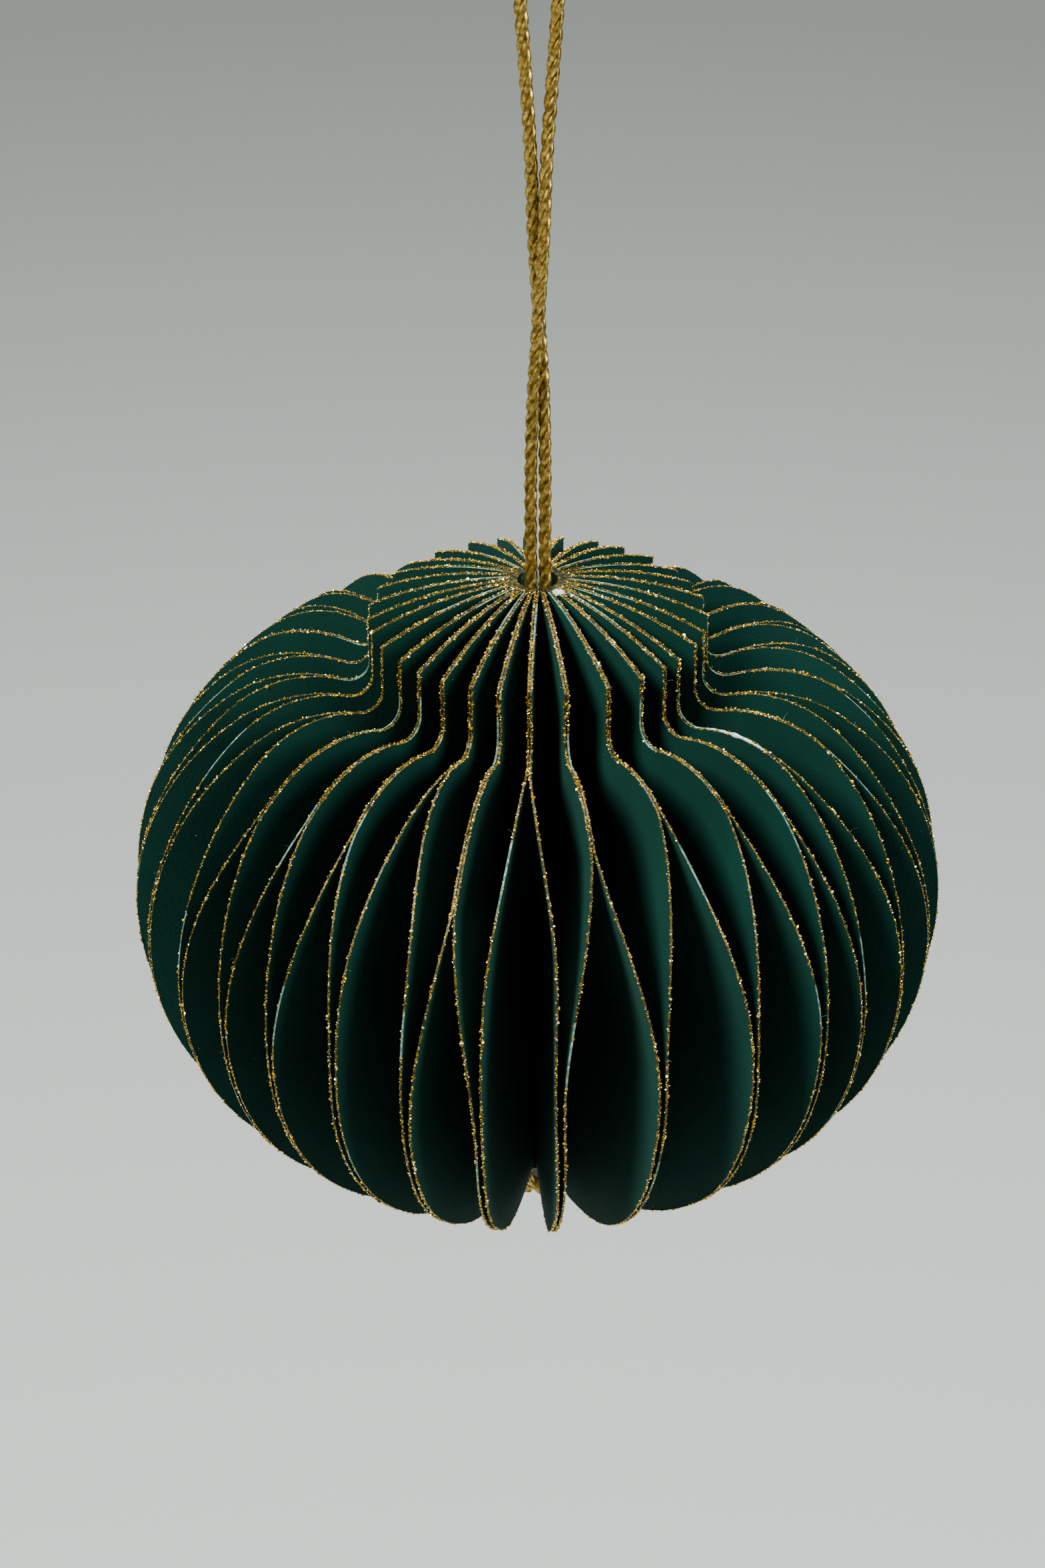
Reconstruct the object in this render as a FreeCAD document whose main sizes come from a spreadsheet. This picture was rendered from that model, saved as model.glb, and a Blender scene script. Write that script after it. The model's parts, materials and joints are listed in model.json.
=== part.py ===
import FreeCAD, Part
import math
import os
import Sketcher

# A paper honeycomb ball on a doubled metallic cord.
# The ball is a ring of folded card sheets: each sheet is creased along the bore and opens into
# two half-leaves. At the neck a half-leaf is glued back to back to its neighbour's, and lower
# down the two half-leaves of one sheet close against each other, so open cells run between them.
# Origin: the seat of the cord's loop on its hook. +Z is up, and the ball hangs below on -Z.

V = FreeCAD.Vector

SIZES = [
    # card
    ("sheet_count", 32),
    ("card_thickness", 0.16),
    ("glue_thickness", 0.06),
    ("bore_radius", 1.6),
    # outline of the ball: a low cap, a neck, a rounded crown, the body and the underside
    ("ball_radius", 32.5),
    ("cap_radius", 13.2),
    ("cap_rise", 3.0),
    ("cap_arc_radius", 29.0),
    ("neck_length", 3.75),
    ("neck_fillet_radius", 1.6),
    ("crown_arc_radius", 9.75),
    ("crown_arc_angle", 52.0),
    ("body_arc_centre", 10.8),
    ("bottom_depth", 27.0),
    ("underside_flattening", 4.1),
    # how a half-leaf swings from its neighbour at the neck to its own other half
    ("swing_angle", 40.0),
    # dried glue pads
    ("neck_pad_near", 5.0),
    ("neck_pad_inset", 2.2),
    ("neck_pad_drop", 2.5),
    ("neck_pad_rise", 4.0),
    ("low_pad_near", 13.0),
    ("low_pad_inset", 11.5),
    ("low_pad_drop", 4.0),
    ("low_pad_rise", 7.0),
    # cord, knot and washer
    ("cord_diameter", 1.0),
    ("leg_clearance", 0.1),
    ("loop_drop", 84.0),
    ("washer_radius", 3.4),
    ("washer_thickness", 0.8),
    ("slide_clearance", 0.2),
    ("knot_height", 3.6),
    ("knot_coil_radius", 1.3),
    ("knot_strand_radius", 0.65),
    ("tail_length", 1.4),
]

# Where each glued pair of half-leaves stands, as its shift from an even spacing in parts of one
# pitch, and how high up the leaf the pair opens, in degrees above the equator. Both are uneven,
# as in any ball that is glued by hand, and both lists repeat for a larger number of sheets.
PAIR_SHIFT = [0.15, 0.05, 0.0, 0.1, -0.05, -0.2, -0.25, -0.4, -0.5, -0.4, -0.15, 0.0, -0.1, -0.4,
              -0.35, -0.45, -0.35, -0.25, -0.2, -0.3, -0.15, -0.05, -0.15, 0.0, 0.1, -0.05, -0.1,
              0.1, 0.2, 0.05, 0.1, 0.2]
PAIR_OPENS = [54, 54, 54, 32, 35, 36, 52, 28, 54, 37, 42, 39, 35, 43, 38, 54, 41, 53, 50, 45, 54,
              38, 47, 54, 33, 41, 54, 36, 49, 54, 40, 52]
FIRST_PAIR = -177.0  # degrees from +X: the first glued pair is at the left of the front, -Y
SWING_STEPS = 8
SWING_EASE = 2.2         # how softly a half-leaf comes to rest at the end of its swing
SHUT_STEPS = 3
BLANK_MARGIN = 1.4       # how far a blank reaches past the outline it is cut to
CREASE_INSET = 0.5       # mm that the blank's crease starts inside the bore
TANGENT_SHARE = 0.45     # share of the shorter run that a rounded corner takes up
# One leg of the cord as points in mm from the hook's seat. It rises out of the bore, passes half
# a turn in front of the other leg and goes up to the hook, where the top of the loop joins them.
CORD_LEG = [(-0.55, 0.0, -46.5), (-0.42, -0.42, -41.0), (0.0, -0.6, -35.0), (0.42, -0.42, -28.5),
            (0.55, 0.0, -22.5), (2.08, 0.0, -0.42)]
CORD_TOP = (0.0, 0.0, 0.82)
# The knot's coils as (level down the knot, tilt axis, tilt), and its tails as (side, lean).
KNOT_COILS = [(0.33, V(1, 0, 0), 9.0), (0.67, V(1, 1, 0), -10.0)]
KNOT_TAILS = [(-1, 14.0), (1, -10.0)]
TAIL_LEVEL = 0.8

doc = FreeCAD.newDocument("honeycomb_ball")
sheet = doc.addObject("Spreadsheet::Sheet", "Sizes")
for row, (alias, value) in enumerate(SIZES, start=1):
    sheet.set(f"A{row}", alias)
    sheet.set(f"B{row}", str(value))
    sheet.setAlias(f"B{row}", alias)
doc.recompute()

sub_parts = []


def size(alias):
    return float(getattr(sheet, alias))


def origin_plane(body, role):
    return next(f for f in body.Origin.OriginFeatures if f.Role == role)


def keep(obj, name):
    """Makes an object a sub-part of its own, under the name of its file."""
    obj.Label = name
    sub_parts.append(obj)
    return obj


# ---------------------------------------------------------------- outline of the ball


def outline_points():
    """Centres and joints of the outline's arcs, about the centre of the ball, as (radius, z)."""
    ball, cap, bore = size("ball_radius"), size("cap_radius"), size("bore_radius")
    fillet, crown, depth = size("neck_fillet_radius"), size("crown_arc_radius"), size("bottom_depth")
    turn = math.radians(size("crown_arc_angle"))
    upper_c = (size("body_arc_centre"), 0.0)
    upper = ball - upper_c[0]
    crown_c = (upper_c[0] + (upper - crown) * math.cos(turn), (upper - crown) * math.sin(turn))
    across = cap + fillet
    lift = math.sqrt((crown + fillet) ** 2 - (across - crown_c[0]) ** 2)
    fillet_c = (across, crown_c[1] + lift)
    lower = depth - size("underside_flattening")
    lower_c = (ball - lower, 0.0)
    bottom = (lower_c[0] ** 2 + depth ** 2 - lower ** 2) / (2 * (depth - lower))
    bottom_c = (0.0, bottom - depth)
    neck_foot = (cap, fillet_c[1])
    rim = (cap, neck_foot[1] + size("neck_length"))
    top = (bore, rim[1] + size("cap_rise"))
    half_chord = math.dist(rim, top) / 2
    fall = math.atan2(top[1] - rim[1], rim[0] - top[0])
    offset = math.sqrt(size("cap_arc_radius") ** 2 - half_chord ** 2)
    cap_c = ((rim[0] + top[0]) / 2 - offset * math.sin(fall),
             (rim[1] + top[1]) / 2 - offset * math.cos(fall))

    def joint(centre, other, radius):
        away = math.dist(centre, other)
        return tuple(c + radius * (o - c) / away for c, o in zip(centre, other))

    return {
        "cap_c": cap_c, "fillet_c": fillet_c, "crown_c": crown_c, "upper_c": upper_c,
        "lower_c": lower_c, "bottom_c": bottom_c,
        "top": top,
        "rim": rim,
        "neck_foot": neck_foot,
        "shoulder": joint(fillet_c, crown_c, fillet),
        "body": joint(upper_c, crown_c, upper),
        "equator": (ball, 0.0),
        "underside": joint(bottom_c, lower_c, bottom),
        "bottom": (bore, bottom_c[1] - math.sqrt(bottom ** 2 - bore ** 2)),
        "bottom_radius": bottom,
    }


def arc_between(centre, start, end):
    """The arc from start to end about a centre, counter-clockwise as a sketch wants it."""
    radius = math.dist(centre, start)
    angles = [math.atan2(p[1] - centre[1], p[0] - centre[0]) for p in (start, end)]
    circle = Part.Circle(V(centre[0], centre[1], 0), V(0, 0, 1), radius)
    return Part.ArcOfCircle(circle, angles[0], angles[1])


def make_outline():
    """The ball's outer shape as one turned body, which every sheet is cut to."""
    p = outline_points()
    body = doc.addObject("PartDesign::Body", "Outline")
    sketch = body.newObject("Sketcher::SketchObject", "OutlineSketch")
    sketch.AttachmentSupport = [(origin_plane(body, "XZ_Plane"), "")]
    sketch.MapMode = "FlatFace"

    def line(start, end):
        return Part.LineSegment(V(start[0], start[1], 0), V(end[0], end[1], 0))

    bore, dome, neck, fillet, crown, upper, lower, under = range(8)
    sketch.addGeometry([
        line(p["bottom"], p["top"]),
        arc_between(p["cap_c"], p["rim"], p["top"]),
        line(p["rim"], p["neck_foot"]),
        arc_between(p["fillet_c"], p["neck_foot"], p["shoulder"]),
        arc_between(p["crown_c"], p["body"], p["shoulder"]),
        arc_between(p["upper_c"], p["equator"], p["body"]),
        arc_between(p["lower_c"], p["underside"], p["equator"]),
        arc_between(p["bottom_c"], p["bottom"], p["underside"]),
    ], False)
    start, end, middle = 1, 2, 3
    across, upright = -1, -2                 # the sketch's own axes, and -1, 1 is its origin
    rule = Sketcher.Constraint
    sketch.addConstraint([
        rule("Vertical", bore),
        rule("Coincident", bore, end, dome, end),
        rule("Coincident", dome, start, neck, start),
        rule("Vertical", neck),
        rule("Tangent", neck, end, fillet, start),
        rule("Tangent", fillet, end, crown, end),
        rule("Tangent", crown, start, upper, end),
        rule("Coincident", upper, start, lower, end),
        rule("Tangent", lower, start, under, end),
        rule("Coincident", under, start, bore, start),
        rule("PointOnObject", upper, middle, across),
        rule("PointOnObject", lower, middle, across),
        rule("PointOnObject", under, middle, upright),
        rule("PointOnObject", upper, start, across),
    ])

    def measure(formula, value, *what):
        index = sketch.addConstraint(rule(*what, value))
        sketch.setExpression(f"Constraints[{index}]", formula)

    lower_radius = "(Sizes.bottom_depth - Sizes.underside_flattening)"
    body_radius = "(Sizes.ball_radius - Sizes.body_arc_centre)"
    measure("Sizes.bore_radius", p["top"][0], "DistanceX", -1, 1, bore, end)
    measure("Sizes.cap_radius", p["rim"][0], "DistanceX", -1, 1, neck, start)
    measure("Sizes.cap_rise", p["top"][1] - p["rim"][1], "DistanceY", neck, start, bore, end)
    measure("Sizes.neck_length", p["rim"][1] - p["neck_foot"][1],
            "DistanceY", neck, end, neck, start)
    measure("Sizes.cap_arc_radius", size("cap_arc_radius"), "Radius", dome)
    measure("Sizes.neck_fillet_radius", size("neck_fillet_radius"), "Radius", fillet)
    measure("Sizes.crown_arc_radius", size("crown_arc_radius"), "Radius", crown)
    measure(f"Sizes.body_arc_centre + ({body_radius} - Sizes.crown_arc_radius)"
            " * cos(Sizes.crown_arc_angle)",
            p["crown_c"][0], "DistanceX", -1, 1, crown, middle)
    measure(body_radius, p["equator"][0] - p["upper_c"][0], "Radius", upper)
    measure(lower_radius, p["equator"][0] - p["lower_c"][0], "Radius", lower)
    measure("Sizes.ball_radius", p["equator"][0], "DistanceX", -1, 1, upper, start)
    measure(f"((Sizes.ball_radius - {lower_radius})^2 + Sizes.bottom_depth^2 - {lower_radius}^2)"
            " / (2 * Sizes.underside_flattening)",
            p["bottom_radius"], "Radius", under)
    turn = body.newObject("PartDesign::Revolution", "OutlineTurn")
    turn.Profile = sketch
    turn.ReferenceAxis = (sketch, ["V_Axis"])
    turn.Angle = 360
    # the turned face's seam is kept at the back of the frame in which the sheets are cut
    body.Placement = FreeCAD.Placement(V(0, 0, 0), FreeCAD.Rotation(V(0, 0, 1), 180))
    body.Label = "outline of the ball"
    return body


# ---------------------------------------------------------------- folded card sheets


def pair_azimuth(index, count):
    """Direction of a glued pair of half-leaves, in degrees from +X."""
    pitch = 360.0 / count
    turns, place = divmod(index, count)
    return FIRST_PAIR + pitch * (place + PAIR_SHIFT[place % len(PAIR_SHIFT)]) + 360.0 * turns


def pair_opening(index, count):
    return float(PAIR_OPENS[(index % count) % len(PAIR_OPENS)])


def swing(share):
    """Share of the way from the neighbour to the sheet's own middle: sharp at first, then soft."""
    return 1 - (1 - share) ** SWING_EASE * (1 + (SWING_EASE - 1) * share)


def half_leaf_rays(opens, slope, reach):
    """Far points of one half-leaf, as (out, sideways, up) from its apex on the crease.

    Above its opening angle the half-leaf is flat and stands at its full slope. Below that it
    swings in along a cone, and it is flat again and runs straight out where the sheet is shut.
    """
    angles = [90.0, 0.5 * (90.0 + opens)]
    slopes = [slope, slope]
    for step in range(SWING_STEPS + 1):
        share = step / SWING_STEPS
        angles.append(opens - size("swing_angle") * share)
        slopes.append(slope * (1 - swing(share)))
    shut = angles[-1]
    for step in range(1, SHUT_STEPS + 1):
        angles.append(shut - (shut + 90.0) * step / SHUT_STEPS)
        slopes.append(0.0)
    rays = []
    for angle, sideways in zip(angles, slopes):
        out = reach * math.cos(math.radians(angle))
        rays.append((out, out * sideways, reach * math.sin(math.radians(angle))))
    return rays


def folded_blank(half_pitch, opens_left, opens_right):
    """One sheet before it is cut to the outline, with its crease along Z and opening to +X."""
    card, glue = size("card_thickness"), size("glue_thickness")
    bore = size("bore_radius")
    reach = BLANK_MARGIN * max(size("ball_radius"), outline_points()["top"][1], size("bottom_depth"))
    slope = math.tan(math.radians(half_pitch))
    film = 0.5 * glue / math.cos(math.radians(half_pitch))
    inner, outer = 0.5 * glue, 0.5 * glue + card
    apex = (outer + film) / slope           # both outer faces start here, open or shut
    crease = bore * slope - film            # half the crease's width at the bore
    fold = bore + card                      # depth of the crease itself
    faces = []

    def face(points):
        wire = Part.makePolygon([V(*q) for q in points] + [V(*points[0])])
        faces.append(Part.Face(wire))

    near = (bore - CREASE_INSET, crease - CREASE_INSET * (outer - crease) / (apex - bore))
    ends = []
    for side, opens in ((1, opens_right), (-1, opens_left)):
        rays = half_leaf_rays(opens, slope, reach)
        out_apex, in_apex = (apex, side * outer, 0.0), (apex, side * inner, 0.0)
        out_rim = [(apex + x, side * (outer + y), z) for x, y, z in rays]
        in_rim = [(apex + x, side * (inner + y), z) for x, y, z in rays]
        for i in range(len(rays) - 1):
            face([out_apex, out_rim[i], out_rim[i + 1]])
            face([in_apex, in_rim[i], in_rim[i + 1]])
            face([out_rim[i], out_rim[i + 1], in_rim[i + 1], in_rim[i]])
        top, low = reach, -reach
        face([(near[0], side * near[1], top), out_rim[0], out_apex, out_rim[-1],
              (near[0], side * near[1], low)])
        face([(fold, side * inner, top), in_rim[0], in_apex, in_rim[-1], (fold, side * inner, low)])
        ends.append([(near[0], side * near[1]), (apex, side * outer), (apex, side * inner),
                     (fold, side * inner)])
    left, right = ends
    for z in (reach, -reach):
        face([(x, y, z) for x, y in left + right[::-1]])
    for x, y in ((near[0], near[1]), (fold, inner)):
        face([(x, -y, -reach), (x, y, -reach), (x, y, reach), (x, -y, reach)])
    return Part.makeSolid(Part.makeShell(faces))


def make_sheets(outline):
    count = int(size("sheet_count"))
    for index in range(count):
        first = pair_azimuth(index, count)
        second = pair_azimuth(index + 1, count)
        name = f"sheet_{index + 1:02d}"
        blank = doc.addObject("Part::Feature", f"Blank{index + 1:02d}")
        blank.Shape = folded_blank(0.5 * (second - first), pair_opening(index, count),
                                   pair_opening(index + 1, count))
        leaf = doc.addObject("Part::Common", f"Leaf{index + 1:02d}")
        leaf.Base = blank
        leaf.Tool = outline
        leaf.setExpression("Placement.Base.z", "-Sizes.loop_drop")
        leaf.Placement.Rotation = FreeCAD.Rotation(V(0, 0, 1), 0.5 * (first + second))
        keep(leaf, name)


# ---------------------------------------------------------------- glue


def make_glue(name, azimuths, near, reach, base, rise):
    """One thin pad of dried glue at each azimuth, in the gap between two faces of card."""
    pads = []
    for number, azimuth in enumerate(azimuths, start=1):
        pad = doc.addObject("Part::Box", f"{name}_{number:02d}")
        pad.setExpression("Length", reach)
        pad.setExpression("Width", "Sizes.glue_thickness")
        pad.setExpression("Height", rise)
        turn = FreeCAD.Rotation(V(0, 0, 1), azimuth)
        out, across = turn.multVec(V(1, 0, 0)), turn.multVec(V(0, 1, 0))
        pad.Placement.Rotation = turn
        for axis in ("x", "y"):
            pad.setExpression(
                f"Placement.Base.{axis}",
                f"{getattr(out, axis):.9f} * {near}"
                f" - {getattr(across, axis):.9f} * Sizes.glue_thickness / 2")
        pad.setExpression("Placement.Base.z", base)
        pads.append(pad)
    group = doc.addObject("Part::Compound", name)
    group.Links = pads
    return keep(group, name)


# ---------------------------------------------------------------- cord, knot and washer


def knot_top():
    return -size("loop_drop") - size("bottom_depth") - 2 * size("slide_clearance") \
        - size("washer_thickness")


def cord_route():
    """The cord's points from the knot up one leg, over the hook and down the other leg."""
    foot = (*CORD_LEG[0][:2], knot_top())
    leg = [V(*point) for point in [foot] + CORD_LEG]
    other_leg = [V(-p.x, -p.y, p.z) for p in reversed(leg)]
    return leg + [V(*CORD_TOP)] + other_leg


def route_wire(points):
    """Straight runs joined by tangent arcs, each as large as its two runs allow."""
    edges = []
    last = points[0]
    for before, corner, after in zip(points, points[1:], points[2:]):
        back, ahead = (before - corner), (after - corner)
        runs = (back.Length, ahead.Length)
        back.normalize()
        ahead.normalize()
        half_turn = 0.5 * (math.pi - back.getAngle(ahead))
        tangent = TANGENT_SHARE * min(runs)
        radius = tangent / math.tan(half_turn)
        print(f"cord arc radius {radius:.2f} mm, turn {math.degrees(2 * half_turn):.1f} degrees")
        start, end = corner + back * tangent, corner + ahead * tangent
        inward = back + ahead
        inward.normalize()
        centre = corner + inward * (radius / math.cos(half_turn))
        edges.append(Part.LineSegment(last, start).toShape())
        edges.append(Part.Arc(start, centre - inward * radius, end).toShape())
        last = end
    edges.append(Part.LineSegment(last, points[-1]).toShape())
    return Part.Wire(edges)


def make_cord():
    route = doc.addObject("Part::Feature", "CordRoute")
    route.Shape = route_wire(cord_route())
    section = doc.addObject("Part::Circle", "CordSection")
    section.setExpression("Radius", "Sizes.cord_diameter / 2")
    start = route.Shape.Edges[0].valueAt(route.Shape.Edges[0].FirstParameter)
    section.Placement.Base = start
    tube = doc.addObject("Part::Sweep", "HangingCord")
    tube.Sections = [section]
    tube.Spine = (route, [f"Edge{i + 1}" for i in range(len(route.Shape.Edges))])
    tube.Solid = True
    tube.Frenet = False
    return keep(tube, "hanging_cord"), route


def make_knot():
    """The knot under the ball: two coils around the cord's legs, a core and two short tails."""
    top = "(-Sizes.loop_drop - Sizes.bottom_depth - 2 * Sizes.slide_clearance" \
          " - Sizes.washer_thickness)"
    core = doc.addObject("Part::Cylinder", "KnotCore")
    core.setExpression("Radius", "Sizes.cord_diameter + Sizes.leg_clearance")
    core.setExpression("Height", "Sizes.knot_height")
    core.setExpression("Placement.Base.z", f"{top} - Sizes.knot_height")
    knot = core
    for number, (level, tilt_axis, tilt) in enumerate(KNOT_COILS, start=1):
        coil = doc.addObject("Part::Torus", f"KnotCoil{number}")
        coil.setExpression("Radius1", "Sizes.knot_coil_radius")
        coil.setExpression("Radius2", "Sizes.knot_strand_radius")
        coil.Placement.Rotation = FreeCAD.Rotation(tilt_axis, tilt)
        coil.setExpression("Placement.Base.z", f"{top} - {level} * Sizes.knot_height")
        knot = fused(knot, coil, f"KnotWithCoil{number}")
    for number, (side, lean) in enumerate(KNOT_TAILS, start=1):
        tail = doc.addObject("Part::Cylinder", f"KnotTail{number}")
        tail.setExpression("Radius", "Sizes.cord_diameter / 2")
        tail.setExpression("Height", "Sizes.tail_length")
        tail.Placement.Rotation = FreeCAD.Rotation(V(0, 1, 0), 180 + lean)
        tail.setExpression("Placement.Base.x",
                           f"{side} * (Sizes.cord_diameter + Sizes.leg_clearance) / 2")
        tail.setExpression("Placement.Base.z", f"{top} - {TAIL_LEVEL} * Sizes.knot_height")
        knot = fused(knot, tail, f"KnotWithTail{number}")
    return keep(knot, "end_knot")


def fused(base, tool, name):
    joined = doc.addObject("Part::Fuse", name)
    joined.Base = base
    joined.Tool = tool
    return joined


def make_washer():
    """A card washer on the cord, between the knot and the ball."""
    body = doc.addObject("PartDesign::Body", "StopWasher")
    sketch = body.newObject("Sketcher::SketchObject", "WasherSketch")
    sketch.AttachmentSupport = [(origin_plane(body, "XY_Plane"), "")]
    sketch.MapMode = "FlatFace"
    rule = Sketcher.Constraint
    for number, alias in enumerate(("washer_radius", "bore_radius")):
        sketch.addGeometry(Part.Circle(V(0, 0, 0), V(0, 0, 1), size(alias)), False)
        sketch.addConstraint(rule("Coincident", number, 3, -1, 1))
        index = sketch.addConstraint(rule("Radius", number, size(alias)))
        sketch.setExpression(f"Constraints[{index}]", f"Sizes.{alias}")
    pad = body.newObject("PartDesign::Pad", "WasherPad")
    pad.Profile = sketch
    pad.setExpression("Length", "Sizes.washer_thickness")
    body.setExpression(
        "Placement.Base.z",
        "-Sizes.loop_drop - Sizes.bottom_depth - Sizes.slide_clearance - Sizes.washer_thickness")
    return keep(body, "stop_washer")


# ---------------------------------------------------------------- build, check and write

outline = make_outline()
doc.recompute()
make_sheets(outline)
count = int(size("sheet_count"))
pairs = [pair_azimuth(i, count) for i in range(count + 1)]
rim_height = outline_points()["rim"][1]
make_glue("upper_glue_spots", pairs[:-1], "Sizes.neck_pad_near",
          "Sizes.cap_radius - Sizes.neck_pad_inset - Sizes.neck_pad_near",
          f"{rim_height:.6f} - Sizes.neck_pad_drop - Sizes.neck_pad_rise - Sizes.loop_drop",
          "Sizes.neck_pad_rise")
make_glue("lower_glue_spots", [0.5 * (a + b) for a, b in zip(pairs, pairs[1:])],
          "Sizes.low_pad_near",
          "Sizes.ball_radius - Sizes.low_pad_inset - Sizes.low_pad_near",
          "-Sizes.low_pad_drop - Sizes.low_pad_rise - Sizes.loop_drop",
          "Sizes.low_pad_rise")
cord, route = make_cord()
make_knot()
make_washer()
doc.recompute()

for obj in doc.Objects:
    if "Invalid" in obj.State or "Error" in obj.State:
        raise RuntimeError(f"{obj.Name} failed: {obj.State}")
for obj in sub_parts:
    expected = count if obj.Label.endswith("glue_spots") else 1
    if obj.Shape.isNull() or not obj.Shape.isValid() or len(obj.Shape.Solids) != expected:
        raise RuntimeError(f"{obj.Label} isn't {expected} valid solids")

cord_volume = math.pi * (size("cord_diameter") / 2) ** 2 * route.Shape.Length
print(f"cord length {route.Shape.Length:.1f} mm, tube volume {cord.Shape.Volume:.2f}"
      f" against {cord_volume:.2f} mm3")

os.makedirs("parts", exist_ok=True)
for obj in sub_parts:
    obj.Shape.exportStep(f"parts/{obj.Label}.step")
print(f"{len(sub_parts)} sub-parts written")
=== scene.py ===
"""Paper honeycomb ball with glittered edges, hanging on a twisted gold cord."""

import json
import math

import bpy
import numpy as np
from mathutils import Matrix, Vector


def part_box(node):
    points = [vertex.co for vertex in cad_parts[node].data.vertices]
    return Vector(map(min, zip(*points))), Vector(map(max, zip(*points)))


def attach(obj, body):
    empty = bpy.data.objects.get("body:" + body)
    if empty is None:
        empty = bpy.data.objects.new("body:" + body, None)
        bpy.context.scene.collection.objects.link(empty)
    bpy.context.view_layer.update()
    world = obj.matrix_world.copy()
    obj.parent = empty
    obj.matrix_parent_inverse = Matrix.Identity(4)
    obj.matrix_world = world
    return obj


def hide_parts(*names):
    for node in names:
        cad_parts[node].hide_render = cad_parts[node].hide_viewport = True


MM = 0.001

with open("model.json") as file:
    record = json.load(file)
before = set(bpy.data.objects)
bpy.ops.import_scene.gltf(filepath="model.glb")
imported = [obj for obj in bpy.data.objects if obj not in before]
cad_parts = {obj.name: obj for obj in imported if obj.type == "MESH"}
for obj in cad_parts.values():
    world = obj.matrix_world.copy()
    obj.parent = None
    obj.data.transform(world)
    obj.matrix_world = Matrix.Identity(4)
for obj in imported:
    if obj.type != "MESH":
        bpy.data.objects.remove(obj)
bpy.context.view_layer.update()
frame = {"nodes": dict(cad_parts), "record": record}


# ---------------------------------------------------------------- sizes, from the frame

SHEETS = sorted(n for n in frame["nodes"] if n.startswith("sheet_"))
SHEET_BOXES = [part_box(n) for n in SHEETS]
TOP = max(high.z for low, high in SHEET_BOXES)
BOTTOM = min(low.z for low, high in SHEET_BOXES)
SPIN = next(j for j in frame["record"]["behaviour"]["joints"] if j["name"] == "spin_on_cord")
CENTRE = Vector(SPIN["pos_m"])
COUNT = len(SHEETS)

# The die-cut outline of a leaf and the way it swings, about the centre of the ball.
BALL_RADIUS = 32.5 * MM
BORE = 1.6 * MM
CARD = 0.16 * MM
GLUE = 0.06 * MM
CAP_RADIUS = 13.2 * MM
CAP_RISE = 3.0 * MM
CAP_ARC = 29.0 * MM
NECK_FILLET = 1.6 * MM
CROWN_ARC = 9.75 * MM
CROWN_ANGLE = math.radians(52)
BODY_CENTRE = 10.8 * MM
DEPTH = CENTRE.z - BOTTOM
FLATTENING = 4.1 * MM
SWING = 40.0              # degrees over which a half-leaf swings, going down the ball
SWING_EASE = 2.2
FIRST_PAIR = -177.0       # degrees from +X
# Each glued pair's shift from an even spacing, in parts of one pitch, and how many degrees above
# the equator it opens.
PAIR_SHIFT = [0.15, 0.05, 0.0, 0.1, -0.05, -0.2, -0.25, -0.4, -0.5, -0.4, -0.15, 0.0, -0.1, -0.4,
              -0.35, -0.45, -0.35, -0.25, -0.2, -0.3, -0.15, -0.05, -0.15, 0.0, 0.1, -0.05, -0.1,
              0.1, 0.2, 0.05, 0.1, 0.2]
PAIR_OPENS = [54, 54, 54, 32, 35, 36, 52, 28, 54, 37, 42, 39, 35, 43, 38, 54, 41, 53, 50, 45, 54,
              38, 47, 54, 33, 41, 54, 36, 49, 54, 40, 52]

# ---------------------------------------------------------------- camera

CAMERA_DISTANCE = 9 * BALL_RADIUS
CAMERA_HEIGHT = math.radians(32)
CAMERA_LENS = 82.4
AIM_ABOVE, AIM_LEFT = 7.3 * MM, 1.2 * MM


def make_camera():
    data = bpy.data.cameras.new("camera")
    data.lens = CAMERA_LENS
    data.sensor_width = 36
    data.clip_start, data.clip_end = 0.01, 20
    camera = bpy.data.objects.new("camera", data)
    bpy.context.scene.collection.objects.link(camera)
    back = Vector((0, -math.cos(CAMERA_HEIGHT), math.sin(CAMERA_HEIGHT)))
    up = Vector((0, math.sin(CAMERA_HEIGHT), math.cos(CAMERA_HEIGHT)))
    camera.location = CENTRE + back * CAMERA_DISTANCE
    aim = CENTRE + up * AIM_ABOVE - Vector((AIM_LEFT, 0, 0))
    camera.rotation_euler = (aim - camera.location).to_track_quat("-Z", "Y").to_euler()
    bpy.context.scene.camera = camera


make_camera()

# ---------------------------------------------------------------- materials


def new_material(name):
    material = bpy.data.materials.new(name)
    material.use_nodes = True
    return material, material.node_tree, material.node_tree.nodes["Principled BSDF"]


def add(tree, kind, **values):
    """A shader node with its settings and its sockets' values."""
    node = tree.nodes.new(kind)
    for key, value in values.items():
        if hasattr(node, key):
            setattr(node, key, value)
        else:
            node.inputs[key.replace("_", " ")].default_value = value
    return node


def ramp(tree, factor, stops):
    """A colour ramp fed by a factor, with (place, colour) stops."""
    node = tree.nodes.new("ShaderNodeValToRGB")
    elements = node.color_ramp.elements
    while len(elements) < len(stops):
        elements.new(0.5)
    for element, (place, colour) in zip(elements, stops):
        element.position = place
        element.color = (*colour, 1)
    tree.links.new(factor, node.inputs["Fac"])
    return node.outputs["Color"]


def bump(tree, shader, height, strength, distance):
    node = add(tree, "ShaderNodeBump", Strength=strength, Distance=distance)
    tree.links.new(height, node.inputs["Height"])
    tree.links.new(node.outputs["Normal"], shader.inputs["Normal"])


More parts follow.
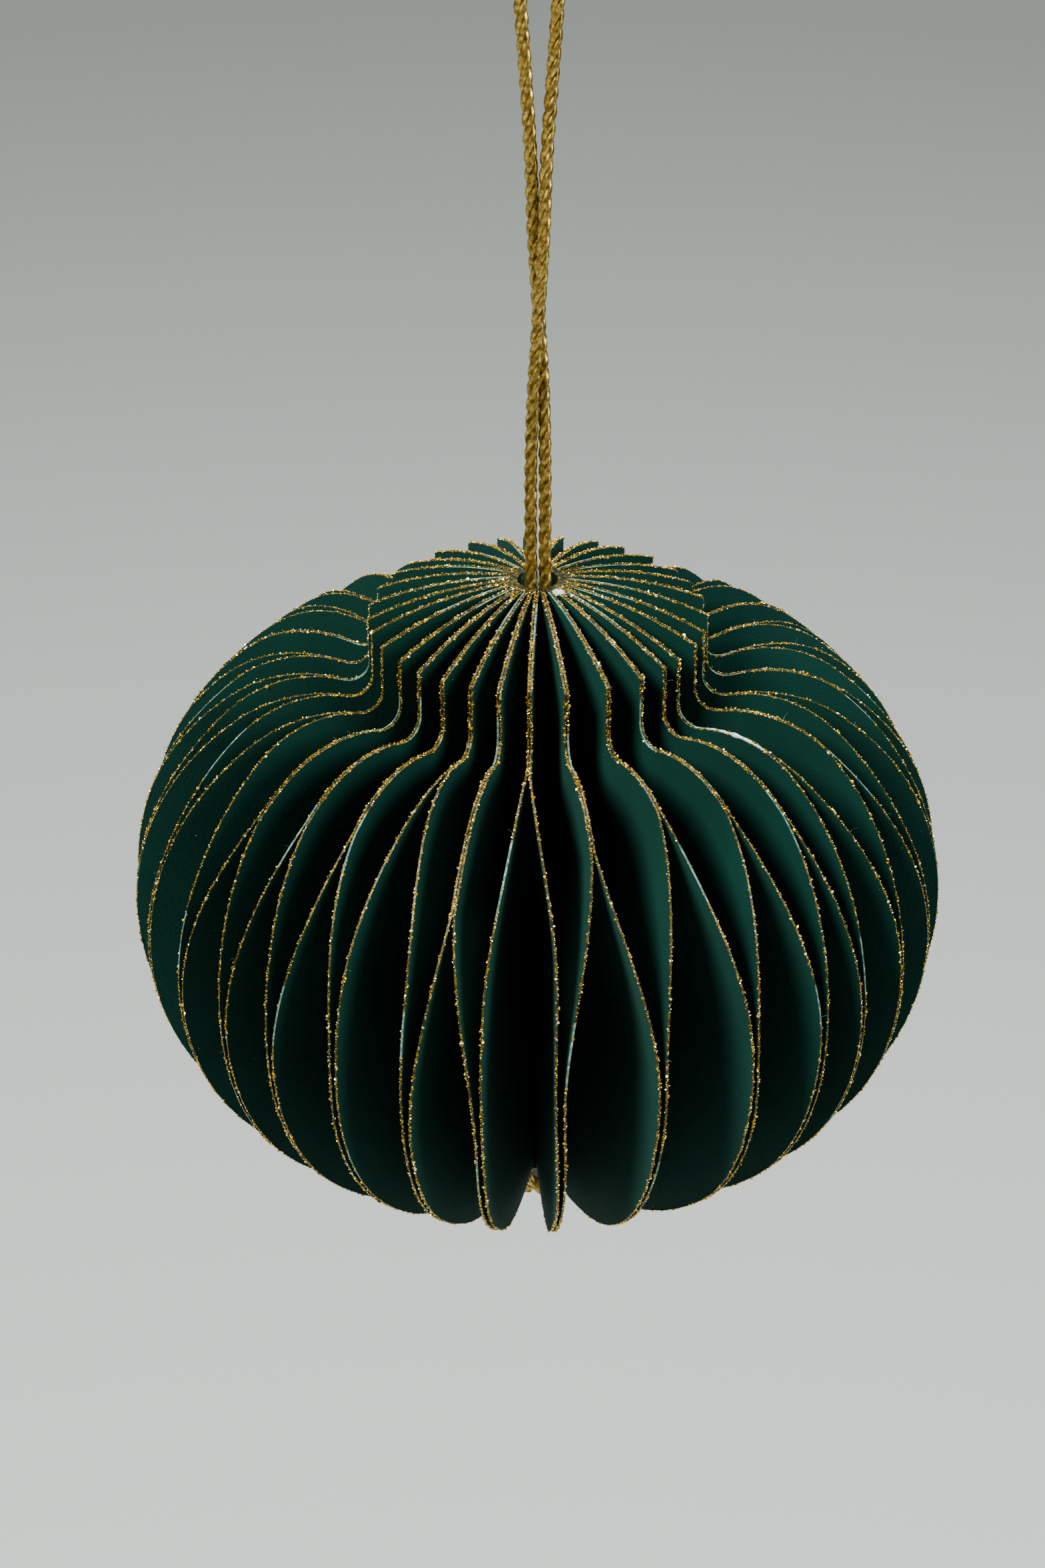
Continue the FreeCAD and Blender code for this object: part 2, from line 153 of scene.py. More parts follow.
def card_material():
    """Matt dyed card: a soft cloud of tone under a fine felt grain."""
    material, tree, shader = new_material("green card")
    place = add(tree, "ShaderNodeTexCoord").outputs["Object"]
    cloud = add(tree, "ShaderNodeTexNoise", Scale=90.0, Detail=5.0, Roughness=0.6)
    grain = add(tree, "ShaderNodeTexNoise", Scale=5200.0, Detail=3.0, Roughness=0.65)
    for node in (cloud, grain):
        tree.links.new(place, node.inputs["Vector"])
    colour = ramp(tree, cloud.outputs["Fac"], [(0.3, (0.0024, 0.035, 0.025)),
                                               (0.7, (0.0042, 0.050, 0.037))])
    tree.links.new(colour, shader.inputs["Base Color"])
    shader.inputs["Roughness"].default_value = 0.8
    shader.inputs["Specular IOR Level"].default_value = 0.22
    shader.inputs["Sheen Weight"].default_value = 0.07
    shader.inputs["Sheen Roughness"].default_value = 0.6
    shader.inputs["Sheen Tint"].default_value = (0.35, 0.75, 0.65, 1)
    bump(tree, shader, grain.outputs["Fac"], 0.6, 0.0001)
    return material


def edge_material(name, stops, metallic, roughness):
    """A cut edge of card, speckled along its length."""
    material, tree, shader = new_material(name)
    place = add(tree, "ShaderNodeTexCoord").outputs["Object"]
    speck = add(tree, "ShaderNodeTexNoise", Scale=2400.0, Detail=3.0, Roughness=0.7)
    tree.links.new(place, speck.inputs["Vector"])
    tree.links.new(ramp(tree, speck.outputs["Fac"], stops), shader.inputs["Base Color"])
    shader.inputs["Metallic"].default_value = metallic
    shader.inputs["Roughness"].default_value = roughness
    bump(tree, shader, speck.outputs["Fac"], 0.6, 0.00004)
    return material


def glitter_material():
    """Every grain takes a gold of its own, dark to near white: the palest grains are painted glints,
    the darkest painted shade.
    """
    material, tree, shader = new_material("gold glitter")
    island = add(tree, "ShaderNodeNewGeometry").outputs["Random Per Island"]
    # Painted glints and shade: the per-grain ramp runs from dark brown gold to near white, standing
    # in for grains that catch or miss the light.
    colour = ramp(tree, island, [(0.0, (0.12, 0.06, 0.004)), (0.35, (0.52, 0.30, 0.022)),
                                 (0.62, (1.0, 0.67, 0.08)), (1.0, (1.0, 0.94, 0.55))])
    tree.links.new(colour, shader.inputs["Base Color"])
    shader.inputs["Metallic"].default_value = 0.45
    shader.inputs["Roughness"].default_value = 0.2
    return material


def cord_material():
    """Metallised thread in random flecks of painted shade and painted highlight, darker for
    filaments turned from the light, paler for their shine.
    """
    material, tree, shader = new_material("gold cord")
    place = add(tree, "ShaderNodeTexCoord").outputs["Object"]
    fleck = add(tree, "ShaderNodeTexNoise", Scale=2600.0, Detail=2.0, Roughness=0.6)
    tree.links.new(place, fleck.inputs["Vector"])
    # Painted shade and highlight: the dark and pale stops of this fleck ramp stand in for filaments
    # in and out of the light.
    colour = ramp(tree, fleck.outputs["Fac"], [(0.32, (0.19, 0.125, 0.032)),
                                               (0.5, (0.38, 0.26, 0.07)),
                                               (0.68, (0.68, 0.49, 0.16))])
    tree.links.new(colour, shader.inputs["Base Color"])
    shader.inputs["Metallic"].default_value = 0.8
    shader.inputs["Roughness"].default_value = 0.32
    bump(tree, shader, fleck.outputs["Fac"], 0.3, 0.00004)
    return material


def mottled_material(name, stops, scale, roughness, relief, **values):
    """A cloudy colour with a matching relief: dried glue, or grey board."""
    material, tree, shader = new_material(name)
    place = add(tree, "ShaderNodeTexCoord").outputs["Object"]
    cloud = add(tree, "ShaderNodeTexNoise", Scale=scale, Detail=4.0, Roughness=0.6)
    tree.links.new(place, cloud.inputs["Vector"])
    tree.links.new(ramp(tree, cloud.outputs["Fac"], stops), shader.inputs["Base Color"])
    shader.inputs["Roughness"].default_value = roughness
    for key, value in values.items():
        shader.inputs[key.replace("_", " ")].default_value = value
    bump(tree, shader, cloud.outputs["Fac"], 0.5, relief)
    return material


def plain_material(name, colour, roughness):
    material, _, shader = new_material(name)
    shader.inputs["Base Color"].default_value = (*colour, 1)
    shader.inputs["Roughness"].default_value = roughness
    return material


CARD_GREEN = card_material()
BARE_EDGE = edge_material("bare cut edge", [(0.35, (0.03, 0.09, 0.07)), (0.55, (0.15, 0.24, 0.19)),
                                            (0.7, (0.40, 0.48, 0.40))], 0.0, 0.9)
GOLD_EDGE = edge_material("gold dusted edge", [(0.42, (0.012, 0.022, 0.012)),
                                               (0.58, (0.11, 0.075, 0.014)),
                                               (0.72, (0.42, 0.27, 0.04))], 0.4, 0.45)
GLITTER = glitter_material()
CORD_GOLD = cord_material()
DRIED_GLUE = mottled_material("dried glue", [(0.3, (0.30, 0.38, 0.35)), (0.7, (0.62, 0.68, 0.65))],
                              1500.0, 0.32, 0.00005, Coat_Weight=0.3)
GREY_BOARD = mottled_material("washer board", [(0.3, (0.16, 0.15, 0.13)), (0.7, (0.30, 0.28, 0.24))],
                              2200.0, 0.9, 0.00006)
SHEET_MATERIALS = [CARD_GREEN, BARE_EDGE, GOLD_EDGE, GLITTER]
GREEN, BARE, DUSTED, GOLD = range(4)

# ---------------------------------------------------------------- outline of a leaf


def arc_points(centre, start, end, step):
    """Points from start to end about a centre, the short way round."""
    first = math.atan2(start[1] - centre[1], start[0] - centre[0])
    last = math.atan2(end[1] - centre[1], end[0] - centre[0])
    turn = (last - first + math.pi) % (2 * math.pi) - math.pi
    radius = math.dist(centre, start)
    count = max(2, int(abs(turn) * radius / step))
    angles = first + turn * np.arange(count) / count
    return np.stack([centre[0] + radius * np.cos(angles), centre[1] + radius * np.sin(angles)], 1)


def outline(step):
    """The cut edge of a half-leaf as (radius, z) points from the top of the bore to its foot."""
    body_arc, lower_arc = BALL_RADIUS - BODY_CENTRE, DEPTH - FLATTENING
    upper_c, lower_c = (BODY_CENTRE, 0.0), (BALL_RADIUS - lower_arc, 0.0)
    away = body_arc - CROWN_ARC
    crown_c = (BODY_CENTRE + away * math.cos(CROWN_ANGLE), away * math.sin(CROWN_ANGLE))
    across = CAP_RADIUS + NECK_FILLET
    lift = math.sqrt((CROWN_ARC + NECK_FILLET) ** 2 - (across - crown_c[0]) ** 2)
    fillet_c = (across, crown_c[1] + lift)
    foot = (lower_c[0] ** 2 + DEPTH ** 2 - lower_arc ** 2) / (2 * FLATTENING)
    foot_c = (0.0, foot - DEPTH)
    crown = (BORE, TOP - CENTRE.z)
    rim = (CAP_RADIUS, crown[1] - CAP_RISE)
    half_chord = math.dist(crown, rim) / 2
    fall = math.atan2(crown[1] - rim[1], rim[0] - crown[0])
    offset = math.sqrt(CAP_ARC ** 2 - half_chord ** 2)
    cap_c = ((crown[0] + rim[0]) / 2 - offset * math.sin(fall),
             (crown[1] + rim[1]) / 2 - offset * math.cos(fall))

    def joint(centre, other, radius):
        away = math.dist(centre, other)
        return tuple(c + radius * (o - c) / away for c, o in zip(centre, other))

    shoulder = joint(fillet_c, crown_c, NECK_FILLET)
    body = joint(upper_c, crown_c, body_arc)
    under = joint(foot_c, lower_c, foot)
    tip = (BORE, foot_c[1] - math.sqrt(foot ** 2 - BORE ** 2))
    neck = np.linspace(rim, (CAP_RADIUS, fillet_c[1]), 10)[:-1]
    return np.concatenate([
        arc_points(cap_c, crown, rim, step), neck,
        arc_points(fillet_c, neck[-1] * [1, 0] + [0, fillet_c[1]], shoulder, step / 2),
        arc_points(crown_c, shoulder, body, step),
        arc_points(upper_c, body, (BALL_RADIUS, 0.0), step),
        arc_points(lower_c, (BALL_RADIUS, 0.0), under, step),
        arc_points(foot_c, under, tip, step), [tip]])


OUTLINE = outline(0.75 * MM)

# ---------------------------------------------------------------- where the card lies


WAVES = 4
PAIR_SEED, SHEET_SEED, GAP_SEED, LEAF_SEED, PAD_SEED, FRAY_SEED = 100, 200, 300, 1000, 3000, 5000


def smooth_noise(seed):
    """A gentle wave over a leaf, about -1 to 1, as a function of radius and height."""
    local = np.random.default_rng(seed)
    turns = local.uniform(60, 190, (WAVES, 2)) * local.choice([-1, 1], (WAVES, 2))
    phase = local.uniform(0, 2 * math.pi, WAVES)

    def wave(r, z):
        total = sum(np.sin(a * r + b * z + c) for (a, b), c in zip(turns, phase))
        return total / math.sqrt(2 * WAVES)

    return wave


GAPE = 0.16 * MM          # how far a shut sheet's two halves stand apart at the rim
PAIR_BEND = 0.22 * MM     # how far glued pairs wander sideways
SHEET_BEND = 0.35 * MM    # how far shut sheets do
BARE_LEVEL = 1.05         # a higher level leaves less of each edge bare
BARE_STEP = 2.399         # radians between one half-leaf's bare stretches and the next one's
PAIR_WAVES = [smooth_noise(PAIR_SEED + i) for i in range(COUNT)]
SHEET_WAVES = [smooth_noise(SHEET_SEED + i) for i in range(COUNT)]
GAP_WAVES = [smooth_noise(GAP_SEED + i) for i in range(2 * COUNT)]


def pair_azimuth(index):
    """Where a glued pair stands, in degrees; past the last pair it runs on into the next turn."""
    turns, place = divmod(index, COUNT)
    shift = PAIR_SHIFT[place % len(PAIR_SHIFT)]
    return FIRST_PAIR + 360.0 / COUNT * (place + shift) + 360.0 * turns


class HalfLeaf:
    """One half of a folded sheet: side is 1 or -1 about the sheet's middle."""

    def __init__(self, sheet, side):
        first, second = pair_azimuth(sheet), pair_azimuth(sheet + 1)
        self.side = side
        self.azimuth = math.radians((first + second) / 2)
        half_pitch = math.radians((second - first) / 2)
        self.slope = math.tan(half_pitch)
        film = 0.5 * GLUE / math.cos(half_pitch)
        self.outer = 0.5 * GLUE + CARD
        self.apex = (self.outer + film) / self.slope
        self.crease = BORE * self.slope     # neighbouring creases touch round the bore
        pair = (sheet + (side > 0)) % COUNT
        self.opens = float(PAIR_OPENS[pair % len(PAIR_OPENS)])
        self.pair_wave, self.sheet_wave = PAIR_WAVES[pair], SHEET_WAVES[sheet]
        self.number = 2 * sheet + (side > 0)
        self.gap_wave = GAP_WAVES[self.number]
        self.bare_phase = BARE_STEP * self.number

    def apart(self, r, z):
        """1 where this half is glued to its neighbour, 0 where it lies on its own other half."""
        angle = np.degrees(np.arctan2(z, np.maximum(r - self.apex, 1e-6)))
        share = np.clip((self.opens - angle) / SWING, 0, 1)
        return (1 - share) ** SWING_EASE * (1 + (SWING_EASE - 1) * share)

    def faces(self, r, z):
        """Sideways places of the inner and the outer face, before the side's sign."""
        out = np.maximum(r - self.apex, 0)
        apart = self.apart(r, z)
        reach = np.clip(out / BALL_RADIUS, 0, 1)
        near = np.clip((r - BORE) / (self.apex - BORE), 0, 1)
        outer = self.crease + (self.outer - self.crease) * near + out * self.slope * apart
        gape = GAPE * reach ** 2 * (1 - apart) * (1.1 + self.gap_wave(r, z))
        pair_bend = PAIR_BEND * self.pair_wave(r, z) * reach * apart
        sheet_bend = SHEET_BEND * self.sheet_wave(r, z) * reach * (1 - apart)
        outer = outer + gape + (pair_bend + sheet_bend) * self.side
        thickness = np.minimum(CARD, self.crease + (CARD - self.crease) * near)
        return outer - thickness, outer

    def bare(self, along):
        """Where the cut edge has lost its glitter, or never took it."""
        wave = np.sin(along / MM * 0.11 + self.bare_phase) + 0.35 * np.sin(along / MM * 0.47)
        return wave > BARE_LEVEL

    def place(self, r, y, z):
        """World places of points given by radius, sideways place and height."""
        y = y * self.side
        c, s = math.cos(self.azimuth), math.sin(self.azimuth)
        return np.stack([r * c - y * s, r * s + y * c, z + CENTRE.z], -1)

# ---------------------------------------------------------------- mesh parts


class Build:
    """Collects vertices and faces with their materials for one object."""

    def __init__(self):
        self.points, self.polygons, self.materials = [], [], []
        self.total = 0

    def add(self, points, polygons, material):
        points = np.asarray(points).reshape(-1, 3)
        self.points.append(points)
        self.polygons.append(np.asarray(polygons) + self.total)
        self.materials.append(np.broadcast_to(material, len(polygons)))
        self.total += len(points)

    def finish(self, name, materials, smooth_materials):
        mesh = bpy.data.meshes.new(name)
        points = np.concatenate(self.points)
        polygons = [tuple(q) for block in self.polygons for q in block.tolist()]
        mesh.from_pydata(points.tolist(), [], polygons)
        for material in materials:
            mesh.materials.append(material)
        index = np.concatenate(self.materials)
        mesh.polygons.foreach_set("material_index", index.astype(np.int32))
        mesh.polygons.foreach_set("use_smooth", np.isin(index, smooth_materials))
        mesh.validate()
        obj = bpy.data.objects.new(name, mesh)
        bpy.context.scene.collection.objects.link(obj)
        return obj


def grid_faces(rows, columns, flip=False):
    """Quads of a grid of points laid out row by row."""
    i, j = np.meshgrid(np.arange(rows - 1), np.arange(columns - 1), indexing="ij")
    a = (i * columns + j).ravel()
    quads = np.stack([a, a + 1, a + columns + 1, a + columns], 1)
    return quads[:, ::-1] if flip else quads


def tube_faces(rings, spokes, flip=False):
    """Quads between rings of points, each ring closed on itself."""
    i, j = np.meshgrid(np.arange(rings - 1), np.arange(spokes), indexing="ij")
    a, b = i * spokes + j, i * spokes + (j + 1) % spokes
    quads = np.stack([a, b, b + spokes, a + spokes], -1).reshape(-1, 4)
    return quads[:, ::-1] if flip else quads


def frames_along(path):
    """Two cross directions at every point, carried along the path without twisting."""
    tangent = np.gradient(path, axis=0)
    tangent /= np.linalg.norm(tangent, axis=1, keepdims=True)
    side = np.cross(tangent[0], [0.2, 1.0, 0.1])
    sides = []
    for direction in tangent:
        side = side - direction * side.dot(direction)
        side /= np.linalg.norm(side)
        sides.append(side)
    sides = np.array(sides)
    return sides, np.cross(sides, tangent)


def add_lump(build, path, radii, flatten, material=0, spokes=14):
    """A smooth lump or hair: rings of the given radii along a path, shut at both ends."""
    side, over = frames_along(path)
    around = np.linspace(0, 2 * math.pi, spokes, endpoint=False)
    c, s = np.cos(around)[None] * radii[:, None], np.sin(around)[None] * radii[:, None] * flatten
    points = path[:, None] + side[:, None] * c[..., None] + over[:, None] * s[..., None]
    build.add(points, tube_faces(len(path), spokes), material)
    build.add(points[0], [np.arange(spokes)[::-1]], material)
    build.add(points[-1], [np.arange(spokes)], material)


LEAF_COLUMNS = 14
COLUMN_CROWDING = 0.9     # under 1, the columns crowd towards the cut edge


def leaf_grid():
    """Radii and heights over a half-leaf: rows follow the cut edge, columns run out to it."""
    rim = OUTLINE[1:-1]
    rows = len(rim)
    spine = np.stack([np.full(rows, BORE), np.linspace(rim[0, 1], rim[-1, 1], rows)], 1)
    share = np.linspace(0, 1, LEAF_COLUMNS) ** COLUMN_CROWDING
    grid = spine[:, None, :] + (rim - spine)[:, None, :] * share[None, :, None]
    return grid[..., 0], grid[..., 1]


def add_half_leaf(build, half):
    """The card of one half-leaf: two faces, the cut edge, the crease and both ends."""
    r, z = leaf_grid()
    inner_y, outer_y = half.faces(r, z)
    inner, outer = half.place(r, inner_y, z), half.place(r, outer_y, z)
    rows, columns = r.shape
    turned = half.side > 0
    build.add(inner, grid_faces(rows, columns, turned), GREEN)
    build.add(outer, grid_faces(rows, columns, not turned), GREEN)
    rim = np.stack([inner[:, -1], outer[:, -1]], 1)
    edge = np.where(half.bare(ALONG[1:-2]), BARE, DUSTED)
    build.add(rim, grid_faces(rows, 2, turned), edge)
    spine = np.stack([inner[:, 0], outer[:, 0]], 1)
    build.add(spine, grid_faces(rows, 2, not turned), BARE)
    for row, flip in ((0, not turned), (-1, turned)):
        end = np.stack([inner[row], outer[row]], 1)
        build.add(end, grid_faces(columns, 2, flip), DUSTED)


FLAKE = np.array([(1, 1, 1), (1, -1, -1), (-1, 1, -1), (-1, -1, 1)]) / math.sqrt(3)
FLAKE_FACES = np.array([(0, 1, 2), (0, 3, 1), (0, 2, 3), (1, 3, 2)])
SPARK = np.array([(1, 0, 0), (-1, 0, 0), (0, 1, 0), (0, -1, 0), (0, 0, 1), (0, 0, -1)], float)
SPARK_FACES = np.array([(0, 2, 4), (2, 1, 4), (1, 3, 4), (3, 0, 4),
                        (2, 0, 5), (1, 2, 5), (3, 1, 5), (0, 3, 5)])


def random_turns(local, count):
    """Rotation matrices, evenly spread over all directions."""
    q = local.normal(size=(count, 4))
    w, x, y, z = (q / np.linalg.norm(q, axis=1, keepdims=True)).T
    return np.stack([
        np.stack([1 - 2 * (y * y + z * z), 2 * (x * y - z * w), 2 * (x * z + y * w)], -1),
        np.stack([2 * (x * y + z * w), 1 - 2 * (x * x + z * z), 2 * (y * z - x * w)], -1),
        np.stack([2 * (x * z - y * w), 2 * (y * z + x * w), 1 - 2 * (x * x + y * y)], -1)], 1)


def edge_sampler():
    """Length along the cut edge, with the edge's own outward direction."""
    steps = np.linalg.norm(np.diff(OUTLINE, axis=0), axis=1)
    along = np.concatenate([[0], np.cumsum(steps)])
    tangent = np.gradient(OUTLINE, axis=0)
    outward = np.stack([-tangent[:, 1], tangent[:, 0]], 1)
    outward /= np.linalg.norm(outward, axis=1, keepdims=True)
    middle = OUTLINE - [0.4 * BALL_RADIUS, 0]
    outward *= np.sign((outward * middle).sum(1))[:, None]
    return along, outward


ALONG, OUTWARD = edge_sampler()
EDGE_MARGIN = 0.6 * MM
# Both kinds of grain: how many are tried per mm, their size in mm, how far past the card's faces
# they spread, as a share of its thickness, and their solid.
GRAINS = [(17.0, 0.047, 0.08, FLAKE, FLAKE_FACES), (4.0, 0.08, 0.3, SPARK, SPARK_FACES)]
GRAIN_SIZES = 0.3         # how much grains of one kind differ in size
BARE_CHANCE, LEAST_CHANCE = 0.16, 0.55
STRAYS = 26               # flakes that fell on each half-leaf
STRAY_SIZE = 0.035
FIBRES = 3                # paper hairs on each half-leaf's edge
FIBRE_POINTS, FIBRE_SPOKES = 9, 5


def add_grains(build, half, local, per_mm, size, spread, solid, faces):
    """Grains of one kind stuck along the cut edge, clumped and thin on the bare stretches."""
    tries = int((ALONG[-1] - 2 * EDGE_MARGIN) / MM * per_mm)
    s = local.uniform(EDGE_MARGIN, ALONG[-1] - EDGE_MARGIN, tries)
    phase = local.uniform(0, 2 * math.pi, 2)
    clump = 0.5 + 0.5 * np.sin(s / MM * 1.7 + phase[0]) * np.sin(s / MM * 0.53 + phase[1])
    chance = np.where(half.bare(s), BARE_CHANCE, LEAST_CHANCE + (1 - LEAST_CHANCE) * clump)
    s = s[local.uniform(size=tries) < chance]
    count = len(s)
    r, z = (np.interp(s, ALONG, OUTLINE[:, i]) for i in (0, 1))
    out_r, out_z = (np.interp(s, ALONG, OUTWARD[:, i]) for i in (0, 1))
    lift = local.normal(0.015, 0.03, count) * MM
    inner, outer = half.faces(r, z)
    y = inner + (outer - inner) * local.uniform(-spread, 1 + spread, count)
    centres = half.place(r + out_r * lift, y, z + out_z * lift)
    scatter(build, local, centres, size, solid, faces)


def scatter(build, local, centres, size, solid, faces):
    """One small grain of glitter at each centre, each of its own size, shape and turn."""
    count = len(centres)
    radius = local.lognormal(math.log(size), GRAIN_SIZES, count).clip(0.4 * size, 2 * size) * MM
    shape = local.uniform(0.5, 1.25, (count, 3)) * radius[:, None]
    grains = solid[None] * shape[:, None, :]
    grains = np.einsum("nij,nkj->nki", random_turns(local, count), grains) + centres[:, None, :]
    polygons = faces[None] + len(solid) * np.arange(count)[:, None, None]
    build.add(grains, polygons.reshape(-1, 3), GOLD)


def add_strays(build, half, local):
    """Flakes that fell on the open face of the card, thinning away from its edge."""
    s = local.uniform(EDGE_MARGIN, ALONG[-1] - EDGE_MARGIN, STRAYS)
    inward = local.exponential(2.2, STRAYS).clip(0.3, 9.0) * MM
    r, z = (np.interp(s, ALONG, OUTLINE[:, i]) - inward * np.interp(s, ALONG, OUTWARD[:, i])
            for i in (0, 1))
    inside = r > half.apex + 2 * MM
    r, z = r[inside], z[inside]
    inner, outer = half.faces(r, z)
    open_face = np.where(half.apart(r, z) > 0.5, inner, outer)
    scatter(build, local, half.place(r, open_face, z), STRAY_SIZE, FLAKE, FLAKE_FACES)


def add_fibres(build, half, local):
    """Curled paper hairs that stand off the cut edge."""
    for s in local.uniform(0.1, 0.95, FIBRES) * ALONG[-1]:
        root, away = (np.array([np.interp(s, ALONG, line[:, i]) for i in (0, 1)])
                      for line in (OUTLINE, OUTWARD))
        share = np.linspace(0, 1, FIBRE_POINTS)
        reach = local.uniform(0.25, 0.75) * MM
        curl, phase = local.uniform(0.08, 0.2) * MM, local.uniform(0, 2 * math.pi)
        r = root[0] + away[0] * reach * share * 0.7 + curl * share * np.sin(5 * share + phase)
        z = root[1] + away[1] * reach * share * 0.7 + curl * share * np.cos(4 * share + phase)
        inner, outer = half.faces(r, z)
        y = 0.5 * (inner + outer) + reach * 0.6 * share * math.cos(phase)
        radii = np.linspace(0.014, 0.007, FIBRE_POINTS) * MM
        add_lump(build, half.place(r, y, z), radii, 1.0, BARE, FIBRE_SPOKES)


def make_sheet(index):
    """One folded sheet with its glitter and paper hairs."""
    build = Build()
    for side in (1, -1):
        half = HalfLeaf(index, side)
        local = np.random.default_rng(LEAF_SEED + half.number)
        add_half_leaf(build, half)
        for kind in GRAINS:
            add_grains(build, half, local, *kind)
        add_strays(build, half, local)
        add_fibres(build, half, local)
    obj = build.finish(SHEETS[index] + "_card", SHEET_MATERIALS, [GREEN])
    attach(obj, "ball")
    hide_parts(SHEETS[index])

# ---------------------------------------------------------------- glue


NECK_PAD_NEAR = 5.0 * MM
LOW_PAD_NEAR = 13.0 * MM
INNER_FACE, OUTER_FACE = range(2)
PAD_RINGS, PAD_SPOKES = 5, 28


def add_pad(build, first, second, face, low, high, seed):
    """A ragged pad of glue that fills the gap between the same faces of two half-leaves."""
    local = np.random.default_rng(seed)
    around = np.linspace(0, 2 * math.pi, PAD_SPOKES, endpoint=False)
    phase = local.uniform(0, 2 * math.pi, 3)
    ragged = 0.86 + 0.05 * sum(np.sin(k * around + p) for k, p in zip((2, 5, 9), phase))
    share = np.linspace(0, 1, PAD_RINGS)[:, None] * ragged[None]
    middle, half_size = 0.5 * (low + high), 0.5 * (high - low)
    r = middle[0] + half_size[0] * share * np.cos(around)
    z = middle[1] + half_size[1] * share * np.sin(around)
    sides = [half.place(r, half.faces(r, z)[face], z) for half in (first, second)]
    for points, flip in zip(sides, (False, True)):
        build.add(points, tube_faces(PAD_RINGS, PAD_SPOKES, flip), 0)
    build.add(np.stack([side[-1] for side in sides]), tube_faces(2, PAD_SPOKES, True), 0)


def make_pads(node, near, face, halves):
    """One pad in each gap: node's box gives the heights and the far end, near is the other end."""
    box_low, box_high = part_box(node)
    low = np.array([near, box_low.z - CENTRE.z])
    high = np.array([box_high.x, box_high.z - CENTRE.z])
    build = Build()
    for index in range(COUNT):
        first, second = halves(index)
        add_pad(build, first, second, face, low, high, PAD_SEED + index)
    obj = build.finish(node + "_film", [DRIED_GLUE], [0])
    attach(obj, "ball")
    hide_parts(node)


def glued_pair(index):
    """The two half-leaves that are glued back to back, one sheet's and the next one's."""
    return HalfLeaf(index, 1), HalfLeaf((index + 1) % COUNT, -1)


def own_halves(index):
    """The two halves of one sheet."""
    return HalfLeaf(index, 1), HalfLeaf(index, -1)


SMEARED_PAIR = 13
SMEAR_START, SMEAR_LENGTH = 19.5 * MM, 5.5 * MM
DROP_TURN = math.radians(-52)
DROP_OUT = 2.6 * MM
DROP_RADIUS = 0.55 * MM
DROP_SINK = 0.15 * MM
SMEAR_RADIUS = 0.17 * MM


def make_spilt_glue():
    """Glue that squeezed out along one pair's edge, and a drop of it beside the bore."""
    build = Build()
    half = HalfLeaf(SMEARED_PAIR - 1, 1)
    share = np.linspace(0, 1, 34)
    s = SMEAR_START + SMEAR_LENGTH * share
    r, z = (np.interp(s, ALONG, OUTLINE[:, i]) for i in (0, 1))
    seam = half.place(r, half.faces(r, z)[OUTER_FACE], z)
    ragged = 1 + 0.45 * np.sin(share * 23) * np.sin(share * 9 + 1)
    radii = SMEAR_RADIUS * np.sin(math.pi * share.clip(0.03, 0.97)) ** 0.5 * ragged
    add_lump(build, seam, radii, 0.8)
    place = Vector((math.cos(DROP_TURN), math.sin(DROP_TURN), 0)) * DROP_OUT
    level = TOP - DROP_SINK
    rise = np.linspace(-1, 1, 16).clip(-0.98, 0.98)
    path = np.stack([place.x + 0 * rise, place.y + 0 * rise, level + 0.4 * DROP_RADIUS * rise], 1)
    add_lump(build, path, DROP_RADIUS * np.sqrt(1 - rise ** 2), 0.85)
    obj = build.finish("spilt_glue", [DRIED_GLUE], [0])
    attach(obj, "ball")

# ---------------------------------------------------------------- cord


CORD_DIAMETER = 1.0 * MM
LAY = 4.2 * MM            # length of one full turn of the plies
PLIES = 3
PLY_SHARE = 0.27          # a ply's radius, as a share of the cord's diameter
PLY_SPOKES = 24
RIDGES, RIDGE_HEIGHT = 6, 0.09
CORD_STEP, KNOT_STEP = 0.16 * MM, 0.14 * MM
# One leg of the cord, in mm from the hook's seat. It rises out of the bore, passes half a turn in
# front of the other leg and goes up to the hook, where the top of the loop joins them.
CORD_LEG = [(-0.55, 0.0, -112.2), (-0.55, 0.0, -52.0), (-0.55, 0.0, -46.5), (-0.42, -0.42, -41.0),
            (0.0, -0.6, -35.0), (0.42, -0.42, -28.5), (0.55, 0.0, -22.5), (0.97, 0.0, -16.5),
            (1.67, 0.0, -6.4), (2.08, 0.0, -0.42)]
CORD_TOP = (0.0, 0.0, 0.82)


def spline_points(points, step):
    """Points along the smooth spline whose control points are given, about a step apart."""
    curve = bpy.data.curves.new("route", "CURVE")
    curve.dimensions = "3D"
    curve.resolution_u = 200
    spline = curve.splines.new("NURBS")
    spline.points.add(len(points) - 1)
    for target, point in zip(spline.points, points):
        target.co = (*point, 1)
    spline.order_u = 3
    spline.use_endpoint_u = True
    obj = bpy.data.objects.new("route", curve)
    mesh = bpy.data.meshes.new_from_object(obj)
    line = np.array([v.co for v in mesh.vertices], float)
    bpy.data.objects.remove(obj)
    bpy.data.curves.remove(curve)
    bpy.data.meshes.remove(mesh)
    along = np.concatenate([[0], np.cumsum(np.linalg.norm(np.diff(line, axis=0), axis=1))])
    even = np.linspace(0, along[-1], max(2, int(along[-1] / step)))
    return np.stack([np.interp(even, along, line[:, i]) for i in range(3)], 1)


